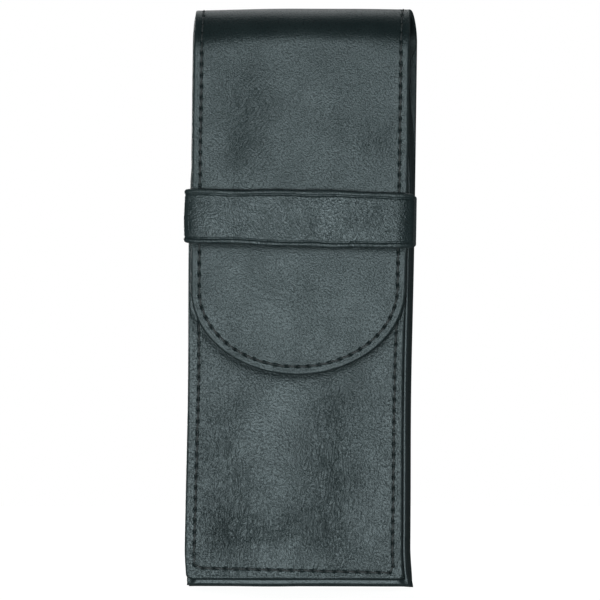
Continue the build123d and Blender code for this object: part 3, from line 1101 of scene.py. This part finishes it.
def band_grid():
    """The band's outer and inner points, flat sizes and wear, in rows from its top edge down."""
    rows = along(band_width, 0.3 * MM, True, True, fine=0.15 * MM, fine_to=3.0 * MM)
    w, s = np.meshgrid(rows, band_s, indexing="ij")
    end = np.minimum(s, band_length - s)
    distance = np.minimum(np.minimum(w, band_width - w), end)
    thickness = band_skin - 0.4 * MM * soft_step((7 * MM - end) / (2 * MM))
    outer_turn, inner_turn = edge_turn(distance, thickness, 0.6)
    height = band_relief(s, w, distance) * np.clip(distance / (0.4 * MM), 0, 1)
    height = height * soft_step((end - 6 * MM) / (6 * MM))
    middle = s - band_length / 2
    ripple = 0.16 * MM * waves(middle, w * 0, 21 * MM, 83) * (1 - 2 * w / band_width)
    spread = 0.22 * MM * bump(middle, w * 0, (0, 0), (18 * MM, 1)) * (2 * w / band_width - 1)
    narrow = 0.55 * MM * soft_step((band_line[:, 1] - band_front - 0.2 * MM) / (3.5 * MM))

    def place(offset):
        """The band's points at an offset from its middle line."""
        x = band_line[:, 0] + band_normal[:, 0] * offset
        y = band_line[:, 1] + band_normal[:, 1] * offset
        z = band_high.z - w + ripple - spread - BAND_TILT * x - narrow * (1 - 2 * w / band_width)
        return stack(x, y, z)

    outer = place(thickness / 2 - outer_turn + height)
    inner = place(thickness / 2 - inner_turn)
    return outer, inner, np.stack([s, w], -1), np.exp(-distance / (0.6 * MM))


band_outer, band_inner, band_flat, band_wear = band_grid()
band = closed_sheet("band_leather_strip", band_outer, band_inner, band_flat, band_wear, band_leather,
                    crumple=0.78)
hold(band, "root", "shell_leather", "band_skin")


def band_lining_place(x, v, depth):
    """The lining lies flat behind the band, and is as askew."""
    return stack(x, band_lining_low.y + depth, band_lining_high.z - v - BAND_TILT * x)


band_inside = panel_sheet("band_lining_sheet", band_lining_place, band_lining_high.x - 2.8 * MM,
                          band_lining_high.z - band_lining_low.z,
                          band_lining_high.y - band_lining_low.y, flat_relief, lining_leather,
                          share=0.5, corner=0.4 * MM, **COARSE)
hold(band_inside, "root", "lining_leather", "band_lining")

# ---- stitches on the pieces
for name, nodes in (
    ("rear", ("back_thread",)),
    ("top_rear", ("crown_rear_thread",)),
    ("top_front", ("crown_top_thread",)),
    ("front", ("crown_front_thread", "flap_thread", "tongue_thread")),
):
    start, end = BENDS[name][2:]
    low, high = along_leather(start), along_leather(end)
    if name == "front":
        high = flap_end
    stitches = stitch_mesh(f"shell_stitches_{name}", shell_seam, shell_place, shell_swell,
                           keep=lambda p, low=low, high=high: low < p[1] <= high)
    bend(stitches, name, "thread", *(nodes if name != "rear" else ()))
for name, seam, place, swell in (
    ("back", back_seam, shell_place, back_swell),
    ("front", front_seam, front_place, front_swell),
    ("mouth", mouth_seam, front_place, front_swell),
):
    stitches = stitch_mesh(f"{name}_stitches", seam, place, swell)
    hold(stitches, "root", "thread", f"{name}_thread")

# ---- stage, lights, camera
def glowing(name, grey, glow):
    """A matt, glowing surface."""
    n = Nodes(name)
    n.surface(Base_Color=(grey, grey, grey, 1), Roughness=1.0, Specular_IOR_Level=0.0,
              Emission_Color=(1, 1, 1, 1), Emission_Strength=glow)
    return n.material


def staged(name, shape, material):
    """Adds a piece of the stage that only the camera sees, so that it throws no light or shadow."""
    mesh = bpy.data.meshes.new(name)
    shape.to_mesh(mesh)
    shape.free()
    thing = linked(name, mesh, material)
    thing.visible_diffuse = False
    thing.visible_glossy = False
    thing.visible_transmission = False
    thing.visible_shadow = False
    return thing


disc = bmesh.new()
bmesh.ops.create_circle(disc, cap_ends=True, segments=96, radius=0.8)
floor = staged("floor", disc, glowing("pale_floor", 0.35, 0.95))
floor.location.z = -0.0003
ball = bmesh.new()
bmesh.ops.create_icosphere(ball, subdivisions=4, radius=5.0)
staged("backdrop", ball, glowing("white_backdrop", 0.0, 1.0))

world = bpy.data.worlds.new("studio")
world.use_nodes = True
sky = world.node_tree.nodes["Background"].inputs
sky["Color"].default_value = (0.82, 1.0, 1.02, 1)
sky["Strength"].default_value = 0.09
bpy.context.scene.world = world


def aimed(name, data, place, aim):
    """A light or camera at a place, turned to look at another."""
    holder = bpy.data.objects.new(name, data)
    holder.location = place
    holder.rotation_euler = (Vector(aim) - Vector(place)).to_track_quat("-Z", "Y").to_euler()
    bpy.context.scene.collection.objects.link(holder)
    return holder


# each light: its name, place, width, height and power in watts
for name, place, width, height, power in (
    ("key", (-0.20, -1.56, -0.14), 0.72, 0.72, 15.6),
    ("fill_right", (0.24, -1.58, 0.10), 0.35, 0.35, 1.0),
    ("side_left", (-1.6, -0.1, 0.10), 0.8, 0.8, 0.5),
    ("back_left", (-0.60, 1.50, 0.12), 0.6, 0.6, 6.0),
    ("top_back", (0.0, 0.7, 1.25), 1.0, 0.7, 3.0),
    ("back_high", (-0.45, 1.4, 0.95), 0.9, 0.9, 2.6),
):
    lamp = bpy.data.lights.new(name, "AREA")
    lamp.shape = "RECTANGLE"
    lamp.size = width
    lamp.size_y = height
    lamp.energy = power
    aimed(name, lamp, place, (0, 0, case_top / 2)).visible_camera = False

CAMERA_TURN = math.radians(3.3)  # the photograph shows a little of the right side
CAMERA_DISTANCE = 2.0
CAMERA_LENS = 448.5
CAMERA_AIM = Vector((0, 0, 0.0770))
camera_data = bpy.data.cameras.new("camera")
camera_data.lens = CAMERA_LENS
camera_data.sensor_width = 36
camera_data.clip_end = 30
backward = Vector((math.sin(CAMERA_TURN), -math.cos(CAMERA_TURN), 0))
camera = aimed("camera", camera_data, CAMERA_AIM + CAMERA_DISTANCE * backward, CAMERA_AIM)
bpy.context.scene.camera = camera
bpy.context.scene.view_settings.view_transform = "Standard"
